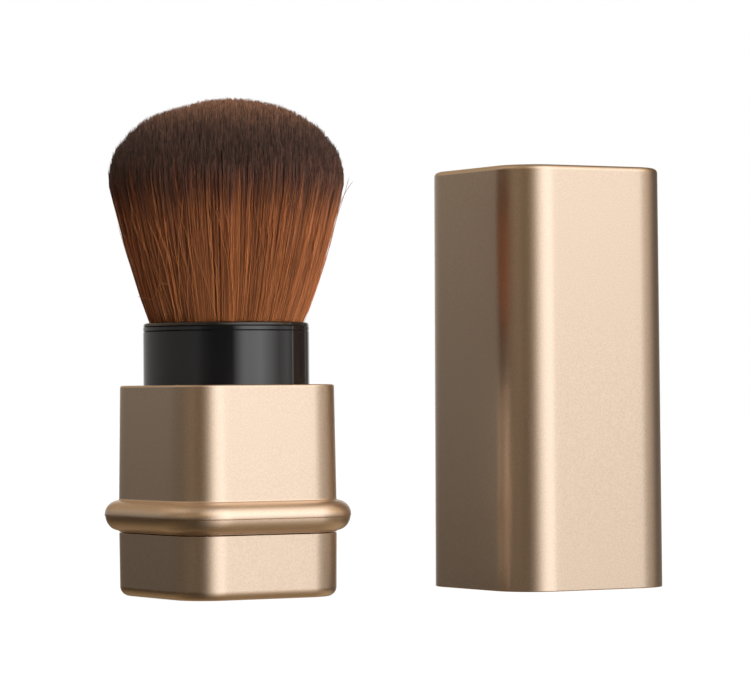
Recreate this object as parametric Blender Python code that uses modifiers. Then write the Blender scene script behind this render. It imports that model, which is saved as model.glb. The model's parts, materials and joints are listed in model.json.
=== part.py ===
"""Travel kabuki brush with a sliding sleeve, and its loose cap standing beside it.

Metres, +Z up. The origin is the middle of the base cup's flat foot, and the body's square sides face
X and Y. The carrier, the ferrule and the bristles stand on the base cup. The sleeve and the guide tube
slide up together, so that the tube's mouth gathers the flared bristles before the cap goes on.
"""

import math

import bmesh
import bpy
from mathutils import Vector

# Clearances
SEAT_GAP = 0.0003  # between a piece and the one that it rests on or is glued into
RUN_GAP = 0.0003  # round the pieces that slide in each other
OVERRUN = 0.0010  # how far a cutter reaches past what it cuts
MERGE_DISTANCE = 0.000001  # between points that count as one

# Square body, measured where the sleeve meets the base cup
BODY_SIDE = 0.0326
BODY_CORNER = 0.0075

# Base cup
BASE_HEIGHT = 0.0114
BASE_FLOOR = 0.0016
BASE_EDGE = 0.0017
BASE_DRAFT = 0.0001
RIM_EDGE = 0.0002
RING_WALL = 0.0012
RING_CLEARANCE = 0.0010

# Sleeve, with its half-round bead
SLEEVE_HEIGHT = 0.0259
SLEEVE_DRAFT = 0.0003
SLEEVE_WALL = 0.0008
SLEEVE_PLATE = 0.0012
SLEEVE_EDGE = 0.0004
HOLE_LEDGE = 0.00005
BEAD_RISE = 0.0002
BEAD_HEIGHT = 0.0052
BEAD_REACH = 0.0026
PARTING_STEP = 0.0001

# Guide tube
TUBE_REACH = 0.0111
TUBE_SKIRT = 0.0044
TUBE_WALL = 0.0008
MOUTH_EDGE = 0.0003
MOUTH_BAND = 0.0012
BAND_GROOVE = 0.0002
LIP_HEIGHT = 0.0015
COLLAR_HEIGHT = 0.0012
COLLAR_INSET = 0.0002
COLLAR_RISE = 0.0014

# Carrier, which holds the brush head up and stops the sleeve
STROKE = 0.0235
LIP_WIDTH = 0.0016
STEM_WALL = 0.0012
HEAD_BASE = 0.0032
HEAD_WALL = 0.0015
HEAD_EDGE = 0.0003
POCKET_DEPTH = 0.0045

# Ferrule and the cast plug in it
FERRULE_HEIGHT = 0.0069
FERRULE_WALL = 0.0003
PLUG_DROP = 0.0004
SLICE_HEIGHT = 0.0012

# Bristle head
FLARE_HEIGHT = 0.0245
FLARE_RADIUS = 0.0214
DOME_HEIGHT = 0.0160
TUFT_COUNT = 310
BELLY_SHARE = 0.55
TUFT_SHARE = 0.43
TIP_SHARE = 0.45
FLARE_POWER = 1.15
DOME_POWER = 2.15
CLOSEST_SHARE = 1.6  # least spacing of the tufts, as a share of the radius over the root of their count

# Cap
CAP_CLEARANCE = 0.0002
CAP_WALL = 0.0009
CAP_CORNER = 0.0081
CAP_DRAFT = 0.0003
CAP_EDGE = 0.0009
CAP_HEADROOM = 0.0040
CAP_RIM_EDGE = 0.0002
GRIP_LENGTH = 0.0110
GRIP_WIDTH = 0.0012
GRIP_SPACING = 0.0090
CAP_PLACE = (0.0628, -0.0084)

# Facets
CORNER_STEPS = 9
TURN_STEPS = 48
EDGE_STEPS = 4
GRIP_SIDES = 12
SMOOTH_ANGLE = math.radians(35)
BEAD_STEPS = 5

# Places that follow from the sizes
BODY_HALF = BODY_SIDE / 2
CORE_INSET = SLEEVE_DRAFT + SLEEVE_WALL
CORE_HALF = BODY_HALF - CORE_INSET
TUBE_RADIUS = CORE_HALF - SEAT_GAP - HOLE_LEDGE
BORE_RADIUS = TUBE_RADIUS - TUBE_WALL
HEAD_RADIUS = BORE_RADIUS - RUN_GAP
LIP_RADIUS = BORE_RADIUS - LIP_WIDTH
STEM_RADIUS = LIP_RADIUS - RUN_GAP
POCKET_RADIUS = HEAD_RADIUS - HEAD_WALL
FERRULE_RADIUS = POCKET_RADIUS - SEAT_GAP
PLUG_RADIUS = FERRULE_RADIUS - FERRULE_WALL - SEAT_GAP

SLEEVE_FOOT = BASE_HEIGHT + SEAT_GAP
SLEEVE_TOP = SLEEVE_FOOT + SLEEVE_HEIGHT
SLEEVE_CEILING = SLEEVE_TOP - SLEEVE_PLATE
BEAD_MIDDLE = SLEEVE_FOOT + BEAD_RISE + BEAD_HEIGHT / 2
BEAD_TOP = BEAD_MIDDLE + BEAD_HEIGHT / 2
TUBE_FOOT = SLEEVE_FOOT - TUBE_SKIRT
TUBE_MOUTH = SLEEVE_TOP + TUBE_REACH
LIP_TOP = TUBE_FOOT + LIP_HEIGHT
SHOULDER = LIP_TOP + STROKE + SEAT_GAP
POCKET_FLOOR = SHOULDER + HEAD_BASE
HEAD_TOP = POCKET_FLOOR + POCKET_DEPTH
FERRULE_FOOT = POCKET_FLOOR + SEAT_GAP
FERRULE_TOP = FERRULE_FOOT + FERRULE_HEIGHT
PLUG_FOOT = FERRULE_FOOT + FERRULE_WALL + SEAT_GAP
SLICE_TOP = FERRULE_TOP - PLUG_DROP
SLICE_FOOT = SLICE_TOP - SLICE_HEIGHT
FLARE_TOP = TUBE_MOUTH + FLARE_HEIGHT
BRUSH_TOP = FLARE_TOP + DOME_HEIGHT

CAP_HALF = BODY_HALF + CAP_CLEARANCE + CAP_WALL
CAP_HEIGHT = BRUSH_TOP - BEAD_TOP + CAP_HEADROOM + CAP_WALL

GOLD = (0.70, 0.52, 0.38, 1.0)
BLACK = (0.012, 0.012, 0.013, 1.0)
SILVER = (0.72, 0.72, 0.74, 1.0)
AMBER = (0.45, 0.28, 0.13, 1.0)
BROWN = (0.20, 0.085, 0.04, 1.0)


def clear_scene():
    for old in list(bpy.data.objects):
        bpy.data.objects.remove(old, do_unlink=True)


def collection(name):
    made = bpy.data.collections.get(name) or bpy.data.collections.new(name)
    if made.name not in bpy.context.scene.collection.children:
        bpy.context.scene.collection.children.link(made)
    return made


def material(name, colour, roughness, metallic=0.0):
    """A plain finish of one colour."""
    made = bpy.data.materials.new(name)
    made.use_nodes = True
    shader = made.node_tree.nodes["Principled BSDF"]
    shader.inputs["Base Color"].default_value = colour
    shader.inputs["Roughness"].default_value = roughness
    shader.inputs["Metallic"].default_value = metallic
    return made


def new_object(name, mesh, group, finish=None):
    made = bpy.data.objects.new(name, mesh)
    group.objects.link(made)
    if finish is not None:
        mesh.materials.append(finish)
        mesh.shade_smooth()
        mesh.set_sharp_from_angle(angle=SMOOTH_ANGLE)
    return made


def as_guide(tool):
    """A cutter or a profile: shown as wires and never rendered."""
    tool.hide_render = True
    tool.display_type = "WIRE"
    return tool


def arc(centre, radius, start, end, steps):
    """Points of an arc in a profile, (distance, height), with the angles in degrees."""
    points = []
    for step in range(steps + 1):
        angle = math.radians(start + (end - start) * step / steps)
        points.append((centre[0] + radius * math.cos(angle), centre[1] + radius * math.sin(angle)))
    return points


def rounded_square(half, corner, height):
    """Corner points of a level square outline with round corners."""
    reach = half - corner
    points = []
    for quarter in range(4):
        turn = math.radians(90 * quarter)
        centre = Vector((reach * (math.cos(turn) - math.sin(turn)), reach * (math.sin(turn) + math.cos(turn))))
        for step in range(CORNER_STEPS + 1):
            angle = turn + math.radians(90 * step / CORNER_STEPS)
            points.append((centre.x + corner * math.cos(angle), centre.y + corner * math.sin(angle), height))
    return points


def square_loft(name, half, corner, sections, group, finish=None):
    """A closed body extruded from section to section, each (inset from the square, height)."""
    bm = bmesh.new()
    first_inset, first_height = sections[0]
    outline = rounded_square(half - first_inset, corner - first_inset, first_height)
    end = bm.faces.new([bm.verts.new(point) for point in outline])
    first = end
    for inset, height in sections[1:]:
        grown = bmesh.ops.extrude_face_region(bm, geom=[end])
        if end != first:
            bm.faces.remove(end)
        end = next(item for item in grown["geom"] if isinstance(item, bmesh.types.BMFace))
        for vert, place in zip(end.verts, rounded_square(half - inset, corner - inset, height)):
            vert.co = place
    bmesh.ops.recalc_face_normals(bm, faces=bm.faces)
    mesh = bpy.data.meshes.new(name)
    bm.to_mesh(mesh)
    bm.free()
    return new_object(name, mesh, group, finish)


def turned(name, profile, group, finish=None, closed=False):
    """A body turned about Z from a profile of (radius, height) that runs down its outer side."""
    mesh = bpy.data.meshes.new(name)
    last = len(profile) - 1
    edges = [(i, i + 1) for i in range(last)]
    if closed:
        edges.append((last, 0))
    mesh.from_pydata([(radius, 0, height) for radius, height in profile], edges, [])
    made = new_object(name, mesh, group, finish)
    screw = made.modifiers.new("turn", "SCREW")
    screw.steps = TURN_STEPS
    screw.render_steps = TURN_STEPS
    screw.use_merge_vertices = True
    screw.merge_threshold = MERGE_DISTANCE
    return made


def boolean(target, tool, operation):
    cut = target.modifiers.new(operation.lower() + "_" + tool.name, "BOOLEAN")
    cut.operation = operation
    cut.object = tool
    return cut


def make_base_cup(parts, tools, finish):
    """Open-topped square cup with a ring on its floor that holds the carrier's foot."""
    core_floor = (CORE_INSET, BASE_FLOOR)
    sections = [core_floor, (CORE_INSET, BASE_HEIGHT), (RIM_EDGE, BASE_HEIGHT), (0, BASE_HEIGHT - RIM_EDGE)]
    foot_arc = arc((BASE_DRAFT + BASE_EDGE, BASE_EDGE), BASE_EDGE, 180, 270, EDGE_STEPS)
    cup = square_loft("base_cup", BODY_HALF, BODY_CORNER, sections + foot_arc, parts, finish)

    inner = STEM_RADIUS + SEAT_GAP
    outer = inner + RING_WALL
    top = TUBE_FOOT - RING_CLEARANCE
    bottom = BASE_FLOOR / 2
    ring_profile = [(inner, top), (outer, top), (outer, bottom), (inner, bottom)]
    ring = as_guide(turned("base_ring", ring_profile, tools, closed=True))
    boolean(cup, ring, "UNION")
    return cup


def bead_sections():
    """Half-round bead from its lower root to its upper one, with the mould's step at its middle."""
    lower = arc((0, 0), 1, -90, 0, BEAD_STEPS)
    upper = arc((0, 0), 1, 0, 90, BEAD_STEPS)
    sections = []
    for across, along in lower:
        reach = (BEAD_REACH - PARTING_STEP) * across
        sections.append((-reach, BEAD_MIDDLE + BEAD_HEIGHT / 2 * along))
    for across, along in upper:
        sections.append((-BEAD_REACH * across, BEAD_MIDDLE + BEAD_HEIGHT / 2 * along))
    return sections


def make_sleeve(parts, tools, finish, slider):
    """Square shell with the bead at its foot and a round hole in its closed top."""
    sections = [(CORE_INSET, SLEEVE_CEILING), (CORE_INSET, SLEEVE_FOOT), (0, SLEEVE_FOOT)]
    sections += bead_sections()
    edge_centre = (SLEEVE_DRAFT + SLEEVE_EDGE, SLEEVE_TOP - SLEEVE_EDGE)
    sections += arc(edge_centre, SLEEVE_EDGE, 180, 90, EDGE_STEPS)
    sleeve = square_loft("sleeve", BODY_HALF, BODY_CORNER, sections, parts, finish)

    radius = TUBE_RADIUS + SEAT_GAP
    top = SLEEVE_TOP + OVERRUN
    bottom = SLEEVE_CEILING - OVERRUN
    hole = as_guide(turned("sleeve_hole", [(0, top), (radius, top), (radius, bottom), (0, bottom)], tools))
    boolean(sleeve, hole, "DIFFERENCE")
    attach(sleeve, slider)
    return sleeve


def make_collar(name, foot, tools):
    """Square plate round the guide tube that fits the sleeve's corners."""
    inset = CORE_INSET + SEAT_GAP + COLLAR_INSET
    sections = [(inset, foot), (inset, foot + COLLAR_HEIGHT)]
    return as_guide(square_loft(name, BODY_HALF, BODY_CORNER, sections, tools))


def make_guide_tube(parts, tools, finish, slider):
    """Thin tube with a grooved mouth, two square collars and an inward lip at its foot."""
    band_foot = TUBE_MOUTH - MOUTH_BAND
    mouth_centre = (TUBE_RADIUS - MOUTH_EDGE, TUBE_MOUTH - MOUTH_EDGE)
    outer = [(0, TUBE_MOUTH)]
    outer += arc(mouth_centre, MOUTH_EDGE, 90, 0, EDGE_STEPS)
    outer += [
        (TUBE_RADIUS, band_foot),
        (TUBE_RADIUS - BAND_GROOVE, band_foot - BAND_GROOVE),
        (TUBE_RADIUS, band_foot - 2 * BAND_GROOVE),
        (TUBE_RADIUS, TUBE_FOOT),
        (0, TUBE_FOOT),
    ]
    tube = turned("guide_tube", outer, parts, finish)
    boolean(tube, make_collar("upper_collar", SLEEVE_CEILING - SEAT_GAP - COLLAR_HEIGHT, tools), "UNION")
    boolean(tube, make_collar("lower_collar", SLEEVE_FOOT + COLLAR_RISE, tools), "UNION")

    top = TUBE_MOUTH + OVERRUN
    bottom = TUBE_FOOT - OVERRUN
    bore_profile = [
        (0, top),
        (BORE_RADIUS, top),
        (BORE_RADIUS, LIP_TOP),
        (LIP_RADIUS, LIP_TOP),
        (LIP_RADIUS, bottom),
        (0, bottom),
    ]
    bore = as_guide(turned("tube_bore", bore_profile, tools))
    boolean(tube, bore, "DIFFERENCE")
    attach(tube, slider)
    return tube


def make_carrier(parts, finish):
    """Hollow stem standing in the base ring, with a wide head that has a pocket for the ferrule."""
    foot = BASE_FLOOR + SEAT_GAP
    web = POCKET_FLOOR - HEAD_WALL
    profile = [
        (0, POCKET_FLOOR),
        (POCKET_RADIUS, POCKET_FLOOR),
        (POCKET_RADIUS, HEAD_TOP),
        (HEAD_RADIUS - HEAD_EDGE, HEAD_TOP),
        (HEAD_RADIUS, HEAD_TOP - HEAD_EDGE),
        (HEAD_RADIUS, SHOULDER + HEAD_EDGE),
        (HEAD_RADIUS - HEAD_EDGE, SHOULDER),
        (STEM_RADIUS, SHOULDER),
        (STEM_RADIUS, foot),
        (STEM_RADIUS - STEM_WALL, foot),
        (STEM_RADIUS - STEM_WALL, web),
        (0, web),
    ]
    return turned("carrier", profile, parts, finish)


def make_ferrule(parts, finish):
    """Thin metal cup, open at the top, that binds the bristles' roots."""
    inside = FERRULE_RADIUS - FERRULE_WALL
    floor = FERRULE_FOOT + FERRULE_WALL
    profile = [
        (0, floor),
        (inside, floor),
        (inside, FERRULE_TOP),
        (FERRULE_RADIUS, FERRULE_TOP),
        (FERRULE_RADIUS, FERRULE_FOOT),
        (0, FERRULE_FOOT),
    ]
    return turned("ferrule", profile, parts, finish)


def make_root_plug(parts, finish):
    """Cast glue that fills the ferrule under the bristles."""
    top = SLICE_FOOT - SEAT_GAP
    profile = [(0, top), (PLUG_RADIUS, top), (PLUG_RADIUS, PLUG_FOOT), (0, PLUG_FOOT)]
    return turned("root_plug", profile, parts, finish)


def bundle_radius(height):
    """Radius of the bundle at a height: straight from the ferrule's rim to the tube's mouth, then flared."""
    mouth_radius = BORE_RADIUS - RUN_GAP
    if height <= TUBE_MOUTH:
        along = (height - FERRULE_TOP) / (TUBE_MOUTH - FERRULE_TOP)
        return PLUG_RADIUS + (mouth_radius - PLUG_RADIUS) * along
    along = min((height - TUBE_MOUTH) / FLARE_HEIGHT, 1)
    return mouth_radius + (FLARE_RADIUS - mouth_radius) * (1 - (1 - along) ** FLARE_POWER)


def dome_height(share):
    """Height of the dome over a point whose distance from the axis is this share of the flare's."""
    return FLARE_TOP + DOME_HEIGHT * (1 - share**DOME_POWER) ** (1 / DOME_POWER)


def tuft_radius(height):
    """Radius of one tuft where it doesn't reach its neighbours."""
    return bundle_radius(height) * CLOSEST_SHARE / math.sqrt(TUFT_COUNT) * TUFT_SHARE


def tuft_points(number):
    """Centre line of a tuft, as (place, radius) from its root to its tip, on a sunflower spiral."""
    share = math.sqrt((number + 0.5) / TUFT_COUNT)
    angle = number * math.pi * (3 - math.sqrt(5))
    root = (SLICE_FOOT + SLICE_TOP) / 2
    outermost = 1 - tuft_radius(FLARE_TOP) / FLARE_RADIUS
    tip = dome_height(share * outermost)
    belly = TUBE_MOUTH + (tip - TUBE_MOUTH) * BELLY_SHARE
    points = []
    for height in (root, TUBE_MOUTH, belly, tip):
        thickness = tuft_radius(height)
        distance = share * (bundle_radius(height) - thickness)
        place = Vector((distance * math.cos(angle), distance * math.sin(angle), height))
        points.append((place, thickness))
    points[-1] = (points[-1][0], points[-1][1] * TIP_SHARE)
    return points


def triangle_profile(tools):
    """Section of a tuft: a unit triangle that each point's radius scales."""
    curve = bpy.data.curves.new("tuft_section", "CURVE")
    curve.dimensions = "2D"
    spline = curve.splines.new("POLY")
    spline.points.add(2)
    for corner, point in enumerate(spline.points):
        angle = math.radians(120 * corner)
        point.co = (math.cos(angle), math.sin(angle), 0, 1)
    spline.use_cyclic_u = True
    made = bpy.data.objects.new("tuft_section", curve)
    tools.objects.link(made)
    return as_guide(made)


def make_tufts(tools):
    """All tufts as one mesh of closed three-sided prisms."""
    curve = bpy.data.curves.new("tufts", "CURVE")
    curve.dimensions = "3D"
    curve.bevel_mode = "OBJECT"
    curve.bevel_object = triangle_profile(tools)
    curve.use_fill_caps = True
    for number in range(TUFT_COUNT):
        points = tuft_points(number)
        spline = curve.splines.new("POLY")
        spline.points.add(len(points) - 1)
        for point, (place, radius) in zip(spline.points, points):
            point.co = (*place, 1)
            point.radius = radius
    wires = bpy.data.objects.new("tuft_curves", curve)
    tools.objects.link(wires)
    bpy.context.view_layer.update()
    mesh = bpy.data.meshes.new_from_object(wires.evaluated_get(bpy.context.evaluated_depsgraph_get()))
    bm = bmesh.new()
    bm.from_mesh(mesh)
    bmesh.ops.remove_doubles(bm, verts=bm.verts, dist=MERGE_DISTANCE)
    bmesh.ops.recalc_face_normals(bm, faces=bm.faces)
    bm.to_mesh(mesh)
    bm.free()
    tufts = bpy.data.objects.new("tufts", mesh)
    tufts.matrix_world = wires.matrix_world
    tools.objects.link(tufts)
    bpy.data.objects.remove(wires, do_unlink=True)
    return as_guide(tufts)


def make_bristles(parts, tools, finish):
    """Flared, domed head of tufts, fused to the top slice of the cast plug."""
    profile = [(0, SLICE_TOP), (PLUG_RADIUS, SLICE_TOP), (PLUG_RADIUS, SLICE_FOOT), (0, SLICE_FOOT)]
    bristles = turned("bristles", profile, parts, finish)
    boolean(bristles, make_tufts(tools), "UNION")
    return bristles


def make_grip(name, place, tools):
    """Half-round grip rib that stands on the cap's inner wall near its mouth."""
    bpy.ops.mesh.primitive_cylinder_add(vertices=GRIP_SIDES, radius=1, depth=GRIP_LENGTH)
    rib = bpy.context.object
    rib.name = name
    rib.location = (*place, GRIP_LENGTH / 2 + GRIP_WIDTH)
    across_x = abs(place[0]) > abs(place[1])
    reach = CAP_CLEARANCE
    half_width = GRIP_WIDTH / 2
    rib.scale = (reach, half_width, 1) if across_x else (half_width, reach, 1)
    for group in list(rib.users_collection):
        group.objects.unlink(rib)
    tools.objects.link(rib)
    return as_guide(rib)


def make_cap(parts, tools, finish, lifter):
    """Tall square cap, closed at the top, with grip ribs inside its mouth."""
    ceiling = CAP_HEIGHT - CAP_WALL
    sections = [
        (CAP_WALL + CAP_DRAFT, ceiling),
        (CAP_WALL, CAP_RIM_EDGE),
        (CAP_WALL - CAP_RIM_EDGE, 0),
        (CAP_RIM_EDGE, 0),
        (0, CAP_RIM_EDGE),
    ]
    sections += arc((CAP_DRAFT + CAP_EDGE, CAP_HEIGHT - CAP_EDGE), CAP_EDGE, 180, 90, EDGE_STEPS)
    cap = square_loft("cap", CAP_HALF, CAP_CORNER, sections, parts, finish)
    wall = CAP_HALF - CAP_WALL
    offset = GRIP_SPACING / 2
    for side in (-1, 1):
        for end in (-1, 1):
            for place in ((side * wall, end * offset), (end * offset, side * wall)):
                number = len(cap.modifiers) + 1
                rib = make_grip(f"grip_rib_{number}", place, tools)
                boolean(cap, rib, "UNION")
                attach(rib, lifter, keep_place=False)
    attach(cap, lifter, keep_place=False)
    return cap


def empty(name, place, parts):
    made = bpy.data.objects.new(name, None)
    made.location = place
    parts.objects.link(made)
    return made


def attach(piece, carrier, keep_place=True):
    """Parents a piece, which is either modelled in world places or about its carrier."""
    piece.parent = carrier
    if keep_place:
        piece.location = -carrier.location


def main():
    clear_scene()
    parts = collection("travel_kabuki_brush")
    tools = collection("cutters_and_guides")
    gold = material("gold_lacquer", GOLD, 0.35, 0.9)
    black = material("black_plastic", BLACK, 0.12)
    black_satin = material("black_inner_plastic", BLACK, 0.4)
    silver = material("ferrule_metal", SILVER, 0.3, 1.0)
    amber = material("cast_glue", AMBER, 0.35)
    brown = material("bristle_fibre", BROWN, 0.55)

    slider = empty("sleeve_slide", (0, 0, SLEEVE_FOOT), parts)
    lifter = empty("cap_lift", (*CAP_PLACE, 0), parts)
    bpy.context.view_layer.update()

    make_base_cup(parts, tools, gold)
    make_carrier(parts, black_satin)
    make_ferrule(parts, silver)
    make_root_plug(parts, amber)
    make_bristles(parts, tools, brown)
    make_sleeve(parts, tools, gold, slider)
    make_guide_tube(parts, tools, black, slider)
    make_cap(parts, tools, gold, lifter)
    bpy.context.view_layer.update()


main()
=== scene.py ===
"""Looks of the travel kabuki brush and its cap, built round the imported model.

Everything is in metres in the model's own frame. The gold shells, the black tube and the carrier are
finer versions of the solids that they stand for, and the head is a dense bundle of real fibres.
"""

import json
import math

import bmesh
import bpy
import numpy as np
from mathutils import Matrix, Vector

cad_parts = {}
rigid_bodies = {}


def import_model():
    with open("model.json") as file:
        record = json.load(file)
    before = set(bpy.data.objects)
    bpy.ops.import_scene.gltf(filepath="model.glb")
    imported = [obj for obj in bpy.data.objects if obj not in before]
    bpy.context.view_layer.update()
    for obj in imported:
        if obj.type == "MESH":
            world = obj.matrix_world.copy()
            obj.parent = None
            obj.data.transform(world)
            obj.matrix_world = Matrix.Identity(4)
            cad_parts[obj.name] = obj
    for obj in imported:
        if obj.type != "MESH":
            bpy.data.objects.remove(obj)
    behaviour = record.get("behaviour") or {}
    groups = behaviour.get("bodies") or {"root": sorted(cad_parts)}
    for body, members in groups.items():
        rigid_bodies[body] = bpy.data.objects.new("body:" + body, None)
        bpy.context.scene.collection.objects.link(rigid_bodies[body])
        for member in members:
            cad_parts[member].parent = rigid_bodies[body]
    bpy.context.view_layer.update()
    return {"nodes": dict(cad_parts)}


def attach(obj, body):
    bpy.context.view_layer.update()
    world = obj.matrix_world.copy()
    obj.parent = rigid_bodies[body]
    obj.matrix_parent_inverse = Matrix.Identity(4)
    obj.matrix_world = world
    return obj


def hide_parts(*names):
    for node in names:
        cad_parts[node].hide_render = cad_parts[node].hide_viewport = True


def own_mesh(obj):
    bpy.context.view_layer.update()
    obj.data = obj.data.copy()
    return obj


# Square body
BODY_HALF = 0.0163
BODY_CORNER = 0.0075
CORE_INSET = 0.0011
SEAM = 0.00016

# Base cup
BASE_HEIGHT = 0.01128
BASE_FLOOR = 0.0016
BASE_EDGE = 0.0017
BASE_DRAFT = 0.0001
RIM_ROUND = 0.0001
RING_INNER = 0.01245
RING_OUTER = 0.01365
RING_TOP = 0.0063
RING_SINK = 0.0001

# Sleeve and bead
SLEEVE_FOOT = BASE_HEIGHT + SEAM
SLEEVE_HEIGHT = 0.02616
SLEEVE_TOP = SLEEVE_FOOT + SLEEVE_HEIGHT
SLEEVE_ROOF = 0.0012
SLEEVE_CEILING = SLEEVE_TOP - SLEEVE_ROOF
SLEEVE_DRAFT = 0.0003
SLEEVE_EDGE = 0.0004
HOLE_RADIUS = 0.01515
HOLE_EDGE = 0.0001
FOOT_ROUND = 0.0001
BEAD_RISE = 0.00306
BEAD_MIDDLE = SLEEVE_FOOT + BEAD_RISE
BEAD_HALF = 0.0026
BEAD_UNDER = 0.0028
BEAD_REACH = 0.0026
PARTING_STEP = 0.0001
PARTING_DROP = 0.0003
PARTING_DEPTH = 0.00016
PARTING_HALF = 0.00007
PARTING_SHARE = math.cos(PARTING_DROP / BEAD_HALF)  # the bead's reach at the parting line
UPPER_ROOT = 0.0003
LOWER_ARC = (-84, -10)  # angles of the bead's round under and over the parting line
UPPER_ARC = (-3, 83)

# Guide tube
TUBE_RADIUS = 0.01485
BORE_RADIUS = 0.01405
TUBE_FOOT = 0.0073
TUBE_REACH = 0.0111
TUBE_MOUTH = SLEEVE_TOP + TUBE_REACH
MOUTH_ROUND = 0.00045
BAND_TAPER = 0.00006
# Fine grooves: how far under the mouth, and the depth, which is also half the width
GROOVES = ((0.00152, 0.00012), (0.00070, 0.00012))
LIP_RADIUS = 0.01245
LIP_HEIGHT = 0.0015
LIP_TOP = TUBE_FOOT + LIP_HEIGHT
SMALL_ROUND = 0.0001

# Collars that join the tube to the sleeve
COLLAR_HEIGHT = 0.0012
COLLAR_PLAY = 0.0005
COLLAR_INSET = CORE_INSET + COLLAR_PLAY
COLLAR_BITE = 0.00005
COLLAR_HOLE = TUBE_RADIUS - COLLAR_BITE
COLLAR_RISE = 0.0017
COLLAR_DROP = 0.0015
COLLAR_FEET = (SLEEVE_FOOT + COLLAR_RISE, SLEEVE_CEILING - COLLAR_DROP)

# Carrier
STEM_RADIUS = 0.01215
STEM_BORE = 0.01095
HEAD_RADIUS = 0.01375
POCKET_RADIUS = 0.01225
CARRIER_FOOT = 0.0019
SHOULDER = 0.0326
POCKET_FLOOR = 0.0358
WEB_FOOT = 0.0343
HEAD_TOP = 0.0403
HEAD_ROUND = 0.0003

# Cap
CAP_PLACE = (0.0628, -0.0084)
CAP_HALF = 0.0174
CAP_CORNER = 0.0081
CAP_WALL = 0.0009
CAP_DRAFT = 0.0003
CAP_EDGE = 0.0009
CAP_HEIGHT = 0.077
CAP_RIM = 0.0002
GRIP_LENGTH = 0.0110
GRIP_HALF_WIDTH = 0.0006
GRIP_PROUD = 0.0002
GRIP_FOOT = 0.0012
GRIP_OFFSET = 0.0045
# A grip's section along it: the power of the sine that swells it, and its share at the two tips
GRIP_POWER = 0.35
GRIP_TIP = 0.12

# Head of fibres: measured heights and radii of its outline
OUTLINE_HEIGHTS = (0.0428, 0.0487, 0.0503, 0.0546, 0.0617, 0.0689, 0.0732, 0.0900)
OUTLINE_RADII = (0.0113, 0.01392, 0.01452, 0.0160, 0.01818, 0.0200, 0.02115, 0.0215)
FLARE_TOP = 0.0732
DOME_HEIGHT = 0.0156
DOME_POWER = 2.15
# The head is cut a little low left of its middle
DENT_PLACE = -0.008
DENT_HALF = 0.005
DENT_DEPTH = 0.0005
# How far the head stands off the tube's axis, to the right as photographed, and where it gets there
LEAN = 0.0002
LEAN_RISE = 0.006
FIBRE_ROOT = 0.0425
SEAT_RADIUS = 0.01135
SEAT_FOOT = 0.0414
SEAT_TOP = 0.0426
FIBRE_COUNT = 34000
SECTORS = 12
SECTOR_LEVEL = 3  # the level at which a fibre's bearing says its sector
OUTER_LAYER = 0.30  # share of the fibres that stand in the outer layer, and where that layer begins
OUTER_START = 0.90
FIBRE_RADIUS = 0.000054
THICKNESS = (0.75, 0.6)  # the thinnest fibre's share of that radius, and how much more it can be
EDGE_SHARE = 0.992
LEVELS = np.array([0, 0.14, 0.34, 0.52, 0.65, 0.76, 0.86, 0.94, 1.0])
TAPER = np.array([1.0, 1.0, 1.0, 1.0, 1.0, 0.96, 0.88, 0.76, 0.5])
ROOT_LEVELS = 2  # levels at the root that stay straight
# Clumps: how unevenly they stand, how far they draw their fibres in, how much they lean, and how much
# they differ in dye and length, the last within limits
CLUMPS = 5200
CLUMP_SCATTER = 0.006
CLUMP_PULL = 0.22
CLUMP_LEAN = 0.0035
CLUMP_DYE = 0.0011
CLUMP_SHORT = 0.00016
CLUMP_SHORT_LIMITS = (-0.0002, 0.0004)
# Single fibres: how much each leans, waves and differs in dye and length
FIBRE_LEAN = 0.0065
FIBRE_WAVE = 0.0030
FIBRE_DYE = 0.0013
FIBRE_SHORT = 0.00042
PROUD_SHARE = 0.06  # share of them that stand proud, and how far at most
PROUD_REACH = 0.00035
LEAN_POWER = 1.6  # a fibre leans and draws in more the further it is from its root
TONE_SPREAD = 1.15
CLUMP_TONE = 0.4  # how much of a fibre's tone is its clump's and how much its own
OWN_TONE = 0.6
# Fibres that lie across the others, where a pair is the least value and how much it can grow
STRAY_COUNT = 110
STRAY_LENGTH = (0.45, 0.5)  # share of the height from the mouth to the flare
STRAY_TURN = 0.17  # how far they turn and wave round the head, in radians
STRAY_WAVE = 0.010
STRAY_LIFT = (0.004, 0.006)  # how far they lie over the outline, as a share of its radius
STRAY_ROOT = 0.97
STRAY_THICKNESS = 0.8
STRAY_TIP = 0.4
STRAY_TONE = (0.85, 0.15)
STRAY_DYE = 0.0011
# Dye: the height at which it begins, how far it takes to turn dark, and the paler tips over the crown,
# which are partly the tips' own paler colour and partly painted glow of light from above through them
DYE_FOOT = 0.0672
DYE_RISE = 0.0098
TIP_LENGTH = 0.0060
CROWN_FOOT = 0.0822
CROWN_RISE = 0.0075
DYE_START, DYE_END = 0.40, 0.65  # where the dyed stretch lies on the scale from root to tip
# Colour map: where a fibre's tone and its place from root to tip begin and how far they run on it, and
# half the width of a fibre's strip
MAP_START = 0.02
MAP_TONES = 0.96
MAP_LENGTH = 0.95
STRIP = 0.008
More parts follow.
